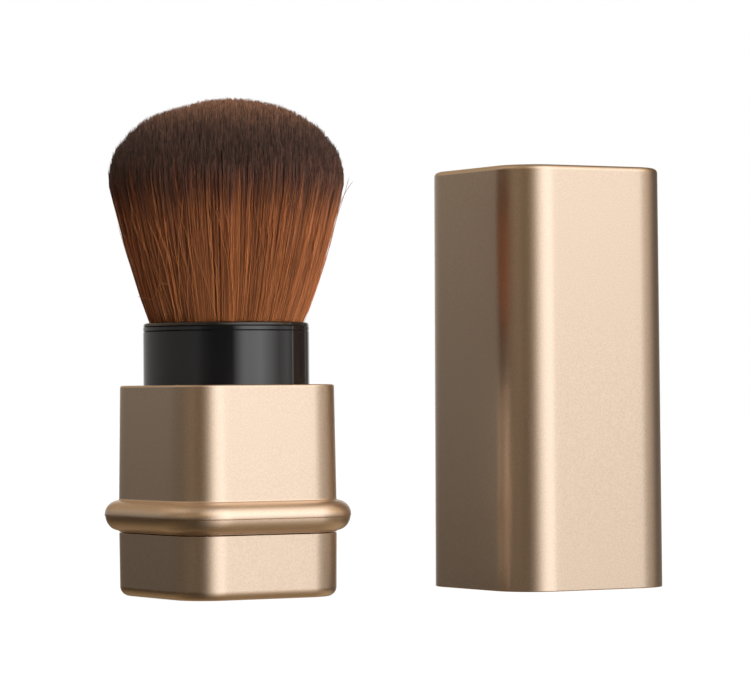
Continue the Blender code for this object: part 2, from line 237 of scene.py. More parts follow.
# Loose fibres: how thick they are, how thin over their last levels, then how far each stands off and
# its (sideways, height) points seen from the camera
LOOSE_THICKNESS = 0.85
LOOSE_TIP = 0.6
LOOSE_TIP_LEVELS = 3
LOOSE_FIBRES = (
    (0.0001, ((0.0186, 0.0620), (0.0199, 0.0672), (0.0212, 0.0712), (0.0222, 0.0746))),
    (0.0001, ((0.0188, 0.0632), (0.0200, 0.0680), (0.0208, 0.0715), (0.0212, 0.0752))),
    (0.0001, ((0.0190, 0.0650), (0.0204, 0.0695), (0.0217, 0.0722), (0.0228, 0.0738))),
    (0.0003, ((-0.0155, 0.0534), (-0.0140, 0.0531), (-0.0129, 0.0527), (-0.0119, 0.0536),
              (-0.0113, 0.0552))),
    (0.0003, ((-0.0101, 0.0488), (-0.0111, 0.0530), (-0.0114, 0.0548), (-0.0104, 0.0554),
              (-0.0090, 0.0549))),
    (0.0003, ((-0.0083, 0.0489), (-0.0096, 0.0560), (-0.0108, 0.0610), (-0.0130, 0.0665))),
    (0.0003, ((-0.0076, 0.0489), (-0.0089, 0.0570), (-0.0098, 0.0615), (-0.0117, 0.0660))),
    (0.0002, ((-0.0010, 0.0489), (-0.0030, 0.0560), (-0.0047, 0.0610), (-0.0052, 0.0640))),
    (0.0002, ((0.0046, 0.0489), (0.0052, 0.0560), (0.0066, 0.0610), (0.0069, 0.0650))),
)
# Colours along a fibre, from root to tip: the place on the scale, the deepest and the lightest tone
FIBRE_COLOURS = (
    (0.0, (0.19, 0.054, 0.017), (0.74, 0.260, 0.080)),
    (0.40, (0.19, 0.053, 0.017), (0.73, 0.240, 0.074)),
    (0.52, (0.090, 0.031, 0.016), (0.330, 0.114, 0.054)),
    (0.65, (0.036, 0.017, 0.012), (0.165, 0.082, 0.060)),
    # The tip colour: partly the tips' own paler colour, partly painted glow of light through them
    (1.0, (0.23, 0.095, 0.045), (0.57, 0.265, 0.138)),
)
SEED = 11
BATCH = 1000  # fibres that look for their clump at a time
FIBRE_TWIST = 2.399963  # angle in radians between one fibre's section and the next one's
FRAME_HINT = (0.31, 0.95, 0.02)  # a direction that no fibre has, to set its section by
TINY = 1e-12

# Facets
CORNER_STEPS = 20
FLAT_STEPS = 14
TURN_STEPS = 160
EDGE_STEPS = 6
BEAD_STEPS = 14
SMALL_STEPS = 4
BORE_STEPS = 3
GRIP_STEPS = 12
GRIP_SIDES = 16
SHARP_ANGLE = math.radians(32)

# Camera, as fitted to the photograph
PHOTO_WIDTH = 750
FOCAL_PIXELS = 3679.738
SENSOR_WIDTH = 36.0
CAMERA_YAW = math.radians(-30.472)
CAMERA_PITCH = math.radians(0.729)
CAMERA_ROLL = math.radians(-0.427)
CAMERA_DISTANCE = 0.657645
CAMERA_ASIDE = 0.026576
CAMERA_HEIGHT = 0.035289
CLIP_NEAR = 0.01
CLIP_FAR = 20
# Level directions (x, y) to the right of the photograph's view, and from the object towards the camera
VIEW_RIGHT = (math.cos(CAMERA_YAW), math.sin(CAMERA_YAW))
VIEW_BACK = (math.sin(CAMERA_YAW), -math.cos(CAMERA_YAW))

# Finishes: noise as cycles a metre and detail, the two tones and the roughness between which it moves,
# and how deep it dents the surface
NOISE_SPAN = (0.3, 0.7)  # the part of a noise that spreads over the whole range
GOLD_FLAKES = (3600, 1.0)
GOLD_TONES = ((0.762, 0.640, 0.532), (0.868, 0.730, 0.608))
GOLD_ROUGHNESS = (0.345, 0.375)
GLOSS_CLOUDS = (140, 3.0)
GLOSS_TONES = ((0.0095, 0.0090, 0.0095), (0.0115, 0.0108, 0.0115))
GLOSS_ROUGHNESS = (0.035, 0.055)
GLOSS_IOR = 1.68
SATIN_GRAIN = (3500, 2.0)
SATIN_CLOUDS = (120, 2.0)
SATIN_TONES = ((0.014, 0.014, 0.015), (0.020, 0.020, 0.021))
SATIN_ROUGHNESS = (0.34, 0.46)
SATIN_BUMP = 0.000006
FERRULE_LINES = (400, 3.0)
FERRULE_STRETCH = (0.2, 0.2, 14)
FERRULE_TONES = ((0.66, 0.66, 0.68), (0.78, 0.78, 0.80))
FERRULE_ROUGHNESS = (0.24, 0.36)
FERRULE_BUMP = 0.000008
GLUE_CLOUDS = (260, 3.0)
GLUE_TONES = ((0.30, 0.17, 0.07), (0.48, 0.30, 0.13))
GLUE_ROUGHNESS = (0.25, 0.40)
GLUE_BUMP = 0.00003
FIBRE_ROUGHNESS = (0.34, 0.46)
FIBRE_IOR = 1.55

# Floor: its own tone, and how brightly and how fully it shows as white
FLOOR_REACH = 4.0
FLOOR_TONE = (0.80, 0.80, 0.80)
FLOOR_ROUGHNESS = 0.9
FLOOR_WHITE = 1.16
FLOOR_SHARE = 0.8
WHITE = (1, 1, 1)

# Studio light, in belts round the object. A belt has pairs of a bearing from +X in degrees and a level
# there, and a third number where a place is warmer or cooler than the rest of its belt.
# The first two belts share their back and their front
HORIZON_BACK = ((0, 0.10), (20, 0.04), (36, 0.20), (46, 0.50), (72, 0.50), (82, 0.44), (90, 0.44))
HORIZON_FRONT = (
    (212, 0.09), (224, 0.02), (240, 0.01), (250, 0.02), (256, 0.58), (260, 1.00), (264, 1.38),
    (269, 1.64), (275, 1.66), (290, 1.85), (305, 1.14),
)
# The glossy tube mirrors only this belt
TUBE_LEFT = ((98, 0.38), (107, 0.34), (118, 0.32), (145, 0.29), (158, 0.26), (172, 0.25), (200, 0.25))
TUBE_RIGHT = ((320, 0.46), (335, 0.62), (348, 0.21), (351, 0.05))
# The satin shells blur that belt into this one and those over it
SATIN_LEFT = (
    (98, 0.34, 0.1), (107, 0.25, 0.2), (118, 0.19, 0.2), (145, 0.13, 0.2), (158, 0.11, 0.2),
    (172, 0.12, 0.2), (200, 0.15, 0.2),
)
SATIN_RIGHT = ((320, 0.44, 0.3), (335, 0.59, 0.3), (348, 0.20, 0.3), (351, 0.05))
LOW_BELT = (
    (0, 0.02), (30, 0.02), (60, 0.50), (90, 0.13), (120, 0.44, 0.3), (150, 0.30, 0.2), (180, 0.22),
    (205, 0.52, 0.7), (225, 0.10, 1.0), (240, 0.14, 1.0), (250, 0.36, 1.0), (262, 1.12), (278, 1.53),
    (296, 1.86), (315, 1.17, 0.7), (335, 0.70, 1.0), (350, 0.12, 1.0),
)
MIDDLE_BELT = (
    (20, 0.02), (80, 0.30), (140, 0.39), (190, 0.11), (225, 0.06, 1.0), (245, 0.80, 1.0), (262, 1.40),
    (285, 1.65), (310, 1.55), (335, 0.42, 1.0), (350, 0.10, 1.0),
)
HIGH_BELT = (
    (30, 0.02), (120, 0.36), (180, 0.73), (225, 0.06, 1.0), (255, 1.06), (285, 1.88), (320, 1.04, 0.8),
)
UNDER_HORIZON = (
    (0, 0.02), (60, 0.50), (95, 0.02), (140, 0.02), (200, 0.05), (225, 0.02), (240, 0.02), (260, 1.25),
    (275, 1.08), (295, 1.04), (315, 0.02), (335, 0.28),
)
UNDER_LOW = (
    (30, 0.02), (90, 0.08), (120, 0.02), (225, 0.02), (240, 0.02), (252, 0.28), (268, 1.21), (290, 1.43),
    (312, 0.24), (335, 0.02),
)
UNDER_MIDDLE = ((30, 0.42), (120, 0.15), (220, 0.02), (240, 0.02), (280, 0.84), (315, 0.16))
UNDER_HIGH = ((45, 0.14), (225, 0.03), (300, 0.18))
OVERHEAD = ((0, 0.18),)
# Belts over and under the horizon: the sine of the belt's angle to it, how warm its dim parts are, and
# its levels
UPPER_BELTS = (
    (0.022, 0.05, HORIZON_BACK + TUBE_LEFT + HORIZON_FRONT + TUBE_RIGHT),
    (0.045, 0.05, HORIZON_BACK + SATIN_LEFT + HORIZON_FRONT + SATIN_RIGHT),
    (0.27, 0.50, LOW_BELT),
    (0.50, 0.50, MIDDLE_BELT),
    (0.72, 0.50, HIGH_BELT),
    (1.00, 0.50, OVERHEAD),
)
LOWER_BELTS = (
    (0.00, 0.20, UNDER_HORIZON),
    (0.25, 0.50, UNDER_LOW),
    (0.55, 0.50, UNDER_MIDDLE),
    (0.92, 0.50, UNDER_HIGH),
)
HORIZON_BLEND = 0.002
TOP_LEVEL = 2.0  # levels are divided by it in the colours, which hold 1 at most
WARM_LEVEL = 0.6  # level at which a place has half its warmth
# Dull surfaces get an even, neutral share of the light, so that their colours come out as written
DULL_GAIN = 1.9
DULL_LOSS = 0.21
DULL_SIDES = ((70, 0.30), (82, 1.90), (125, 1.90), (140, 0.06), (225, 0.06), (240, 0.30))
# Where the backdrop stands behind the object: its bearings, and the sines of its foot and top
BACKDROP_SIDES = (38.0, 46.0, 72.0, 84.0)
BACKDROP_FOOT = (-0.25, -0.05)
BACKDROP_TOP = (0.27, 0.45)


def square_ring(half, corner, height):
    """Level outline of a square with round corners."""
    reach = half - corner
    points = []
    for quarter in range(4):
        turn = math.pi / 2 * quarter
        centre_x = reach * (math.cos(turn) - math.sin(turn))
        centre_y = reach * (math.sin(turn) + math.cos(turn))
        for step in range(CORNER_STEPS + 1):
            angle = turn + math.pi / 2 * step / CORNER_STEPS
            across, along = corner * math.cos(angle), corner * math.sin(angle)
            points.append((centre_x + across, centre_y + along, height))
        # The flat is split too, so that a ring with the same bearings comes out round
        along_x, along_y = -math.cos(turn), -math.sin(turn)
        last_x, last_y, _ = points[-1]
        for step in range(1, FLAT_STEPS):
            far = 2 * reach * step / FLAT_STEPS
            points.append((last_x + along_x * far, last_y + along_y * far, height))
    return points


def round_ring(radius, height, like):
    """Level circle with a point at the bearing of each point of another ring."""
    points = []
    for x, y, _ in like:
        angle = math.atan2(y, x)
        points.append((radius * math.cos(angle), radius * math.sin(angle), height))
    return points


def circle(radius, height):
    points = []
    for step in range(TURN_STEPS):
        angle = 2 * math.pi * step / TURN_STEPS
        points.append((radius * math.cos(angle), radius * math.sin(angle), height))
    return points


def skin(name, rings, closed=False, place=(0, 0)):
    """Smooth-shaded body from ring to ring: its ends are filled, or joined if it is closed."""
    count = len(rings[0])
    verts = [(x + place[0], y + place[1], z) for ring in rings for x, y, z in ring]
    faces = []
    spans = len(rings) if closed else len(rings) - 1
    for row in range(spans):
        low = row * count
        high = (row + 1) % len(rings) * count
        for step in range(count):
            after = (step + 1) % count
            faces.append((low + step, low + after, high + after, high + step))
    if not closed:
        faces.append(tuple(reversed(range(count))))
        faces.append(tuple(range((len(rings) - 1) * count, len(rings) * count)))
    return solid(name, verts, faces)


def solid(name, verts, faces):
    mesh = bpy.data.meshes.new(name)
    mesh.from_pydata(verts, [], faces)
    bm = bmesh.new()
    bm.from_mesh(mesh)
    bmesh.ops.recalc_face_normals(bm, faces=bm.faces)
    bm.to_mesh(mesh)
    bm.free()
    mesh.shade_smooth()
    mesh.set_sharp_from_angle(angle=SHARP_ANGLE)
    made = bpy.data.objects.new(name, mesh)
    bpy.context.scene.collection.objects.link(made)
    even = made.modifiers.new("even_faces", "WEIGHTED_NORMAL")
    even.keep_sharp = True
    return made


def arc(centre, radius, start, end, steps=EDGE_STEPS):
    """Points of an arc in a profile, with the angles in degrees."""
    points = []
    for step in range(steps + 1):
        angle = math.radians(start + (end - start) * step / steps)
        points.append((centre[0] + radius * math.cos(angle), centre[1] + radius * math.sin(angle)))
    return points


def square_rings(half, corner, profile):
    return [square_ring(half - inset, corner - inset, height) for inset, height in profile]


def dress(piece, body, finish, slot, *nodes):
    """Gives a piece its finish, parents it to the body that it rides on and hides the solids that it
    stands for.
    """
    piece.data.materials.append(finish)
    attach(piece, body)
    if nodes:
        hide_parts(*nodes)
    return piece


def make_base_cup(gold):
    profile = [(CORE_INSET, BASE_FLOOR), (CORE_INSET, BASE_HEIGHT - SMALL_ROUND)]
    profile += [(CORE_INSET - SMALL_ROUND, BASE_HEIGHT)]
    profile += arc((RIM_ROUND, BASE_HEIGHT - RIM_ROUND), RIM_ROUND, 90, 180)
    profile += arc((BASE_DRAFT + BASE_EDGE, BASE_EDGE), BASE_EDGE, 180, 270, 2 * EDGE_STEPS)
    cup = skin("base_cup_shell", square_rings(BODY_HALF, BODY_CORNER, profile))
    dress(cup, "base", gold, "gold_lacquer", "base_cup")
    ring_profile = [(RING_INNER, RING_TOP), (RING_INNER, BASE_FLOOR - RING_SINK)]
    ring_profile += [(RING_OUTER, BASE_FLOOR - RING_SINK), (RING_OUTER, RING_TOP)]
    ring = skin("base_cup_ring", [circle(*point) for point in ring_profile], closed=True)
    dress(ring, "base", gold, "gold_lacquer")


def bead_profile():
    """Half-round bead from the sleeve's foot to its wall, with the fine line where the mould parted."""
    lower_reach = BEAD_REACH - PARTING_STEP
    parting = BEAD_MIDDLE - PARTING_DROP
    points = []
    for across, along in arc((0, 0), 1, *LOWER_ARC, BEAD_STEPS):
        points.append((-lower_reach * across, BEAD_MIDDLE + BEAD_UNDER * along))
    points.append((-lower_reach * PARTING_SHARE, parting - PARTING_HALF))
    points.append((PARTING_DEPTH - lower_reach, parting))
    points.append((-BEAD_REACH * PARTING_SHARE, parting + PARTING_HALF))
    for across, along in arc((0, 0), 1, *UPPER_ARC, BEAD_STEPS):
        points.append((-BEAD_REACH * across, BEAD_MIDDLE + BEAD_HALF * along))
    root = BEAD_MIDDLE + BEAD_HALF
    points += arc((-UPPER_ROOT, root + UPPER_ROOT), UPPER_ROOT, -90, 0, SMALL_STEPS)
    return points


def make_sleeve(gold):
    profile = [(CORE_INSET, SLEEVE_CEILING), (CORE_INSET, SLEEVE_FOOT + SMALL_ROUND)]
    profile += [(CORE_INSET - SMALL_ROUND, SLEEVE_FOOT), (FOOT_ROUND, SLEEVE_FOOT)]
    profile += [(0, SLEEVE_FOOT + FOOT_ROUND)]
    profile += bead_profile()
    profile += arc((SLEEVE_DRAFT + SLEEVE_EDGE, SLEEVE_TOP - SLEEVE_EDGE), SLEEVE_EDGE, 180, 90)
    rings = square_rings(BODY_HALF, BODY_CORNER, profile)
    top = rings[-1]
    rings.append(round_ring(HOLE_RADIUS + HOLE_EDGE, SLEEVE_TOP, top))
    rings.append(round_ring(HOLE_RADIUS, SLEEVE_TOP - HOLE_EDGE, top))
    rings.append(round_ring(HOLE_RADIUS, SLEEVE_CEILING, top))
    sleeve = skin("sleeve_shell", rings, closed=True)
    dress(sleeve, "slider", gold, "gold_lacquer", "sleeve")


def make_guide_tube(black):
    mouth_radius = TUBE_RADIUS - BAND_TAPER
    profile = [(LIP_RADIUS, LIP_TOP), (LIP_RADIUS, TUBE_FOOT), (TUBE_RADIUS - SMALL_ROUND, TUBE_FOOT)]
    profile += [(TUBE_RADIUS, TUBE_FOOT + SMALL_ROUND)]
    for drop, half in GROOVES:
        middle = TUBE_MOUTH - drop
        profile += [(TUBE_RADIUS, middle - half), (TUBE_RADIUS - half, middle)]
        profile += [(TUBE_RADIUS, middle + half)]
    profile += arc((mouth_radius - MOUTH_ROUND, TUBE_MOUTH - MOUTH_ROUND), MOUTH_ROUND, 0, 90)
    profile += arc((BORE_RADIUS + SMALL_ROUND, TUBE_MOUTH - SMALL_ROUND), SMALL_ROUND, 90, 180, BORE_STEPS)
    profile += [(BORE_RADIUS, LIP_TOP)]
    tube = skin("guide_tube_wall", [circle(*point) for point in profile], closed=True)
    dress(tube, "slider", black, "black_plastic", "guide_tube")
    for number, foot in enumerate(COLLAR_FEET):
        edges = [(COLLAR_INSET, foot), (COLLAR_INSET, foot + COLLAR_HEIGHT)]
        rings = square_rings(BODY_HALF, BODY_CORNER, edges)
        rings.append(round_ring(COLLAR_HOLE, foot + COLLAR_HEIGHT, rings[0]))
        rings.append(round_ring(COLLAR_HOLE, foot, rings[0]))
        collar = skin(f"tube_collar_{number + 1}", rings, closed=True)
        dress(collar, "slider", black, "black_plastic")


def make_carrier(black_satin):
    rounding = HEAD_RADIUS - HEAD_ROUND
    profile = [(STEM_BORE, WEB_FOOT), (STEM_BORE, CARRIER_FOOT), (STEM_RADIUS - SMALL_ROUND, CARRIER_FOOT)]
    profile += [(STEM_RADIUS, CARRIER_FOOT + SMALL_ROUND), (STEM_RADIUS, SHOULDER)]
    profile += arc((rounding, SHOULDER + HEAD_ROUND), HEAD_ROUND, -90, 0)
    profile += arc((rounding, HEAD_TOP - HEAD_ROUND), HEAD_ROUND, 0, 90)
    profile += [(POCKET_RADIUS, HEAD_TOP), (POCKET_RADIUS, POCKET_FLOOR)]
    carrier = skin("carrier_turned", [circle(*point) for point in profile])
    dress(carrier, "base", black_satin, "black_inner_plastic", "carrier")


def make_cap(gold):
    ceiling = CAP_HEIGHT - CAP_WALL
    profile = [(CAP_WALL + CAP_DRAFT, ceiling), (CAP_WALL, CAP_RIM), (CAP_WALL - CAP_RIM, 0)]
    profile += arc((CAP_RIM, CAP_RIM), CAP_RIM, 270, 180, SMALL_STEPS)
    profile += arc((CAP_DRAFT + CAP_EDGE, CAP_HEIGHT - CAP_EDGE), CAP_EDGE, 180, 90, 2 * EDGE_STEPS)
    cap = skin("cap_shell", square_rings(CAP_HALF, CAP_CORNER, profile), place=CAP_PLACE)
    dress(cap, "cap", gold, "gold_lacquer", "cap")
    wall = CAP_HALF - CAP_WALL
    number = 0
    for side in (-1, 1):
        for end in (-1, 1):
            for x, y in ((side * wall, end * GRIP_OFFSET), (end * GRIP_OFFSET, side * wall)):
                number += 1
                place = (CAP_PLACE[0] + x, CAP_PLACE[1] + y)
                grip = make_grip(f"cap_grip_{number}", place, abs(x) > abs(y))
                dress(grip, "cap", gold, "gold_lacquer")


def make_grip(name, place, across_x):
    """Slim rib with rounded ends on the cap's inner wall."""
    rings = []
    half = GRIP_LENGTH / 2
    for step in range(GRIP_STEPS + 1):
        turn = math.pi * step / GRIP_STEPS
        along = half * -math.cos(turn)
        swell = math.sin(turn) ** GRIP_POWER if 0 < step < GRIP_STEPS else GRIP_TIP
        ring = []
        for side in range(GRIP_SIDES):
            angle = 2 * math.pi * side / GRIP_SIDES
            out = GRIP_PROUD * swell * math.cos(angle)
            wide = GRIP_HALF_WIDTH * swell * math.sin(angle)
            x, y = (out, wide) if across_x else (-wide, out)
            ring.append((x, y, GRIP_FOOT + half + along))
        rings.append(ring)
    return skin(name, rings, place=place)


def outline_radius(heights):
    return np.interp(heights, OUTLINE_HEIGHTS, OUTLINE_RADII)


def dome(share):
    return FLARE_TOP + DOME_HEIGHT * (1 - np.minimum(share, 1) ** DOME_POWER) ** (1 / DOME_POWER)


def fibre_lines(rng):
    """Centre lines of all fibres: places by fibre and level, radii, tones and dye offsets."""
    count = FIBRE_COUNT
    share = np.sqrt(rng.random(count))
    outer = rng.random(count) < OUTER_LAYER
    share[outer] = OUTER_START + (1 - OUTER_START) * rng.random(outer.sum())
    share *= EDGE_SHARE
    bearing = rng.random(count) * 2 * np.pi

    golden = np.pi * (3 - np.sqrt(5))
    clump_share = np.sqrt((np.arange(CLUMPS) + 0.5) / CLUMPS)
    clump_bearing = np.arange(CLUMPS) * golden
    centres = np.stack([clump_share * np.cos(clump_bearing), clump_share * np.sin(clump_bearing)], 1)
    centres += rng.normal(0, CLUMP_SCATTER, centres.shape)
    flat = np.stack([share * np.cos(bearing), share * np.sin(bearing)], 1)
    nearest = np.zeros(count, int)
    for start in range(0, count, BATCH):
        part = flat[start : start + BATCH]
        gap = ((part[:, None, :] - centres[None, :, :]) ** 2).sum(2)
        nearest[start : start + BATCH] = gap.argmin(1)
    clump_pull = rng.random(CLUMPS)[nearest] * CLUMP_PULL
    clump_lean = rng.normal(0, CLUMP_LEAN, (CLUMPS, 2))[nearest]
    clump_tone = rng.random(CLUMPS)[nearest]
    clump_dye = rng.normal(0, CLUMP_DYE, CLUMPS)[nearest]

    short = np.abs(rng.normal(0, FIBRE_SHORT, count))
    short = short + np.clip(rng.normal(0, CLUMP_SHORT, CLUMPS), *CLUMP_SHORT_LIMITS)[nearest]
    short -= np.where(rng.random(count) < PROUD_SHARE, PROUD_REACH * rng.random(count), 0)
    aside = flat @ np.array(VIEW_RIGHT) * OUTLINE_RADII[-1]
    dent = DENT_DEPTH * np.exp(-(((aside - DENT_PLACE) / DENT_HALF) ** 2))
    tip = dome(share / EDGE_SHARE) - short - dent
    heights = FIBRE_ROOT + (tip - FIBRE_ROOT)[:, None] * LEVELS[None, :]
    radius = outline_radius(heights)
    gain = LEVELS[None, :, None] ** LEAN_POWER
    drawn = (centres[nearest] - flat)[:, None, :] * clump_pull[:, None, None] * gain
    pulled = flat[:, None, :] + drawn
    pulled += clump_lean[:, None, :] * gain
    pulled += rng.normal(0, FIBRE_LEAN, (count, 2))[:, None, :] * gain
    wave = rng.normal(0, FIBRE_WAVE, (count, len(LEVELS), 2))
    wave[:, :ROOT_LEVELS] = 0
    pulled += wave
    reach = np.linalg.norm(pulled, axis=2)
    pulled /= np.maximum(reach / EDGE_SHARE, 1)[:, :, None]
    places = np.concatenate([pulled * radius[:, :, None], heights[:, :, None]], 2)
    places[:, :, :2] += lean(heights)

    thick = FIBRE_RADIUS * (THICKNESS[0] + THICKNESS[1] * rng.random(count))
    radii = thick[:, None] * TAPER[None, :]
    tone = CLUMP_TONE * clump_tone + OWN_TONE * rng.random(count)
    tone = np.clip(0.5 + TONE_SPREAD * (tone - 0.5), 0, 1)
    dye = clump_dye + rng.normal(0, FIBRE_DYE, count)
    return places, radii, tone, dye


def lean(heights):
    """Sideways shift of the head, which begins over the tube's mouth."""
    share = np.clip((heights - TUBE_MOUTH) / LEAN_RISE, 0, 1)
    return LEAN * share[..., None] * np.array(VIEW_RIGHT)


def dye_and_glow_scale(places, dye):
    """Scale from 0 at the root to 1 at the tip, which says each point's colour. Over the crown the tips
    are raised towards the tip colour, partly as painted glow of light through them.
    """
    heights = places[:, :, 2]
    level = heights + dye[:, None]
    below = np.clip((level - FIBRE_ROOT) / (DYE_FOOT - FIBRE_ROOT), 0, 1)
    dyed = np.clip((level - DYE_FOOT) / DYE_RISE, 0, 1)
    scale = DYE_START * below + (DYE_END - DYE_START) * dyed
    left = heights.max(1)[:, None] - heights
    # Paler tips over the crown: partly their own colour, partly painted glow of light from above through
    # them
    pale = np.clip(1 - left / TIP_LENGTH, 0, 1) * np.clip((level - CROWN_FOOT) / CROWN_RISE, 0, 1)
    return scale + (1 - scale) * pale


def stray_lines(rng):
    """Fibres that lie across the others near the surface of the head."""
    count = STRAY_COUNT
    bearing = rng.random(count) * 2 * np.pi
    length = STRAY_LENGTH[0] + STRAY_LENGTH[1] * rng.random(count)
    tip = TUBE_MOUTH + (FLARE_TOP - TUBE_MOUTH) * length
    heights = FIBRE_ROOT + (tip - FIBRE_ROOT)[:, None] * LEVELS[None, :]
    turn = bearing[:, None] + rng.normal(0, STRAY_TURN, count)[:, None] * LEVELS[None, :] ** 2
    turn += rng.normal(0, STRAY_WAVE, (count, len(LEVELS))) * LEVELS[None, :]
    lift = STRAY_LIFT[0] + STRAY_LIFT[1] * rng.random(count)
    outline = outline_radius(heights)
    radius = outline * (1.0 + lift[:, None] * LEVELS[None, :] ** 2)
    radius[:, :ROOT_LEVELS] = outline[:, :ROOT_LEVELS] * STRAY_ROOT
    places = np.stack([radius * np.cos(turn), radius * np.sin(turn), heights], 2)
    places[:, :, :2] += lean(heights)
    radii = np.full((count, len(LEVELS)), FIBRE_RADIUS * STRAY_THICKNESS)
    radii[:, -1] *= STRAY_TIP
    tone = STRAY_TONE[0] + STRAY_TONE[1] * rng.random(count)
    return places, radii, tone, rng.normal(0, STRAY_DYE, count)


def placed_strays():
    """The few loose fibres that catch the eye, on the side towards the camera."""
    back = np.array(VIEW_BACK)
    side = np.array(VIEW_RIGHT)
    lines = []
    radii = []
    for proud, points in LOOSE_FIBRES:
        points = np.array(points)
        spread = np.linspace(0, 1, len(points))
        fine = np.interp(np.linspace(0, 1, 4 * (len(LEVELS) - 1) + 1), spread, np.arange(len(points)))
        whole = np.clip(fine.astype(int), 0, len(points) - 2)
        share = (fine - whole)[:, None]
        before = points[np.maximum(whole - 1, 0)]
        first, second = points[whole], points[whole + 1]
        after = points[np.minimum(whole + 2, len(points) - 1)]
        bend = (second - before) / 2
        swing = (after - first) / 2
        smooth = (
            first * (2 * share**3 - 3 * share**2 + 1)
            + bend * (share**3 - 2 * share**2 + share)
            + second * (3 * share**2 - 2 * share**3)
            + swing * (share**3 - share**2)
        )
        aside, height = smooth[:, 0], smooth[:, 1]
        radius = outline_radius(height) + proud
        towards = np.sqrt(np.maximum(radius**2 - aside**2, 0))
        flat = side[None, :] * aside[:, None] + back[None, :] * towards[:, None]
        lines.append(np.concatenate([flat, height[:, None]], 1))
        thin = np.full(len(height), FIBRE_RADIUS * LOOSE_THICKNESS)
        thin[-LOOSE_TIP_LEVELS:] *= LOOSE_TIP
        radii.append(thin)
    return np.array(lines), np.array(radii), np.ones(len(lines)), np.zeros(len(lines))


def fibre_parts(places, radii, tone, dye):
    """Points, quads, end triangles, tones and the scale of dye and painted tip glow of closed three-sided
    fibres with equal levels.
    """
    count, levels, _ = places.shape
    along = np.gradient(places, axis=1)
    along /= np.maximum(np.linalg.norm(along, axis=2, keepdims=True), TINY)
    side = np.cross(along, np.array(FRAME_HINT))
    side /= np.maximum(np.linalg.norm(side, axis=2, keepdims=True), TINY)
    across = np.cross(along, side)
    angles = np.arange(3) * 2 * np.pi / 3
    wheel = angles[None, :] + (np.arange(count) * FIBRE_TWIST)[:, None]
    ring = (
        side[:, :, None, :] * np.cos(wheel)[:, None, :, None]
        + across[:, :, None, :] * np.sin(wheel)[:, None, :, None]
    )
    verts = (places[:, :, None, :] + ring * radii[:, :, None, None]).reshape(-1, 3)
    base = np.arange(count)[:, None, None] * levels * 3
    row = np.arange(levels - 1)[None, :, None] * 3
    step = np.arange(3)[None, None, :]
    after = (step + 1) % 3
    low = base + row
    quads = np.stack([low + step, low + after, low + 3 + after, low + 3 + step], 3).reshape(-1, 4)
    first = np.arange(count) * levels * 3
    last = first + (levels - 1) * 3
    roots = np.stack([first + 2, first + 1, first], 1)
    tips = np.stack([last, last + 1, last + 2], 1)
    scale = np.repeat(dye_and_glow_scale(places, dye).ravel(), 3)
    return verts, quads, np.concatenate([roots, tips]), np.repeat(tone, levels * 3), scale


def fibre_mesh(name, parts):
    """One mesh of fibres, with each fibre's tone and its scale of dye and painted tip glow at its points
    and on its colour map.
    """
    starts = np.cumsum([0] + [len(part[0]) for part in parts])
    verts = np.concatenate([part[0] for part in parts])
    quads = np.concatenate([part[1] + start for part, start in zip(parts, starts)])
    triangles = np.concatenate([part[2] + start for part, start in zip(parts, starts)])
    tone = np.concatenate([part[3] for part in parts])
    scale = np.concatenate([part[4] for part in parts])
    mesh = bpy.data.meshes.new(name)
    mesh.vertices.add(len(verts))
    mesh.vertices.foreach_set("co", verts.astype(np.float32).ravel())
    corners = np.concatenate([quads.ravel(), triangles.ravel()]).astype(np.int32)
    mesh.loops.add(len(corners))
    mesh.loops.foreach_set("vertex_index", corners)
    sizes = np.concatenate([np.full(len(quads), 4), np.full(len(triangles), 3)])
    mesh.polygons.add(len(sizes))
    loop_starts = np.concatenate([[0], np.cumsum(sizes)[:-1]]).astype(np.int32)
    mesh.polygons.foreach_set("loop_start", loop_starts)
    mesh.update(calc_edges=True)
    mesh.shade_smooth()
    for label, values in (("fibre_tone", tone), ("fibre_dye_and_glow", scale)):
        kept = mesh.attributes.new(label, "FLOAT", "POINT")
        kept.data.foreach_set("value", values.astype(np.float32))
    # Each face lies on the map where its tone is across and its place from root to tip is up
    aside = np.concatenate([np.tile([-1, 1, 1, -1], len(quads)), np.tile([-1, 0, 1], len(triangles))])
    lift = np.concatenate([np.zeros(4 * len(quads)), np.tile([0, 1, 0], len(triangles))])
    places = np.empty((len(corners), 2), np.float32)
    places[:, 0] = MAP_START + MAP_TONES * tone[corners] + STRIP * aside
    places[:, 1] = MAP_START + MAP_LENGTH * scale[corners] + STRIP * lift
    layer = mesh.uv_layers.new(name="OFBake")
    layer.data.foreach_set("uv", places.ravel())
    made = bpy.data.objects.new(name, mesh)
    bpy.context.scene.collection.objects.link(made)
    return made


def make_head(fibre, glue):
    """Dense fibre bundle in sectors."""
    rng = np.random.default_rng(SEED)
    lines = [fibre_lines(rng), stray_lines(rng), placed_strays()]
    width = 2 * np.pi / SECTORS
    for number in range(SECTORS):
        name = f"fibre_sector_{number + 1:02d}"
        parts = []
        for places, radii, tone, dye in lines:
            marks = places[:, SECTOR_LEVEL]
            bearing = np.arctan2(marks[:, 1], marks[:, 0]) % (2 * np.pi)
            mine = np.minimum((bearing / width).astype(int), SECTORS - 1) == number
            parts.append(fibre_parts(places[mine], radii[mine], tone[mine], dye[mine]))
        made = fibre_mesh(name, parts)
        dress(made, "base", fibre, "bristle_fibre", "bristles")
        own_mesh(made)
    edge = SEAT_RADIUS - SMALL_ROUND
    profile = [(edge, SEAT_FOOT), (SEAT_RADIUS, SEAT_FOOT + SMALL_ROUND)]
    profile += [(SEAT_RADIUS, SEAT_TOP - SMALL_ROUND), (edge, SEAT_TOP)]
    seat = skin("fibre_seat", [circle(*point) for point in profile])
    dress(seat, "base", glue, "bristle_fibre", "bristles")


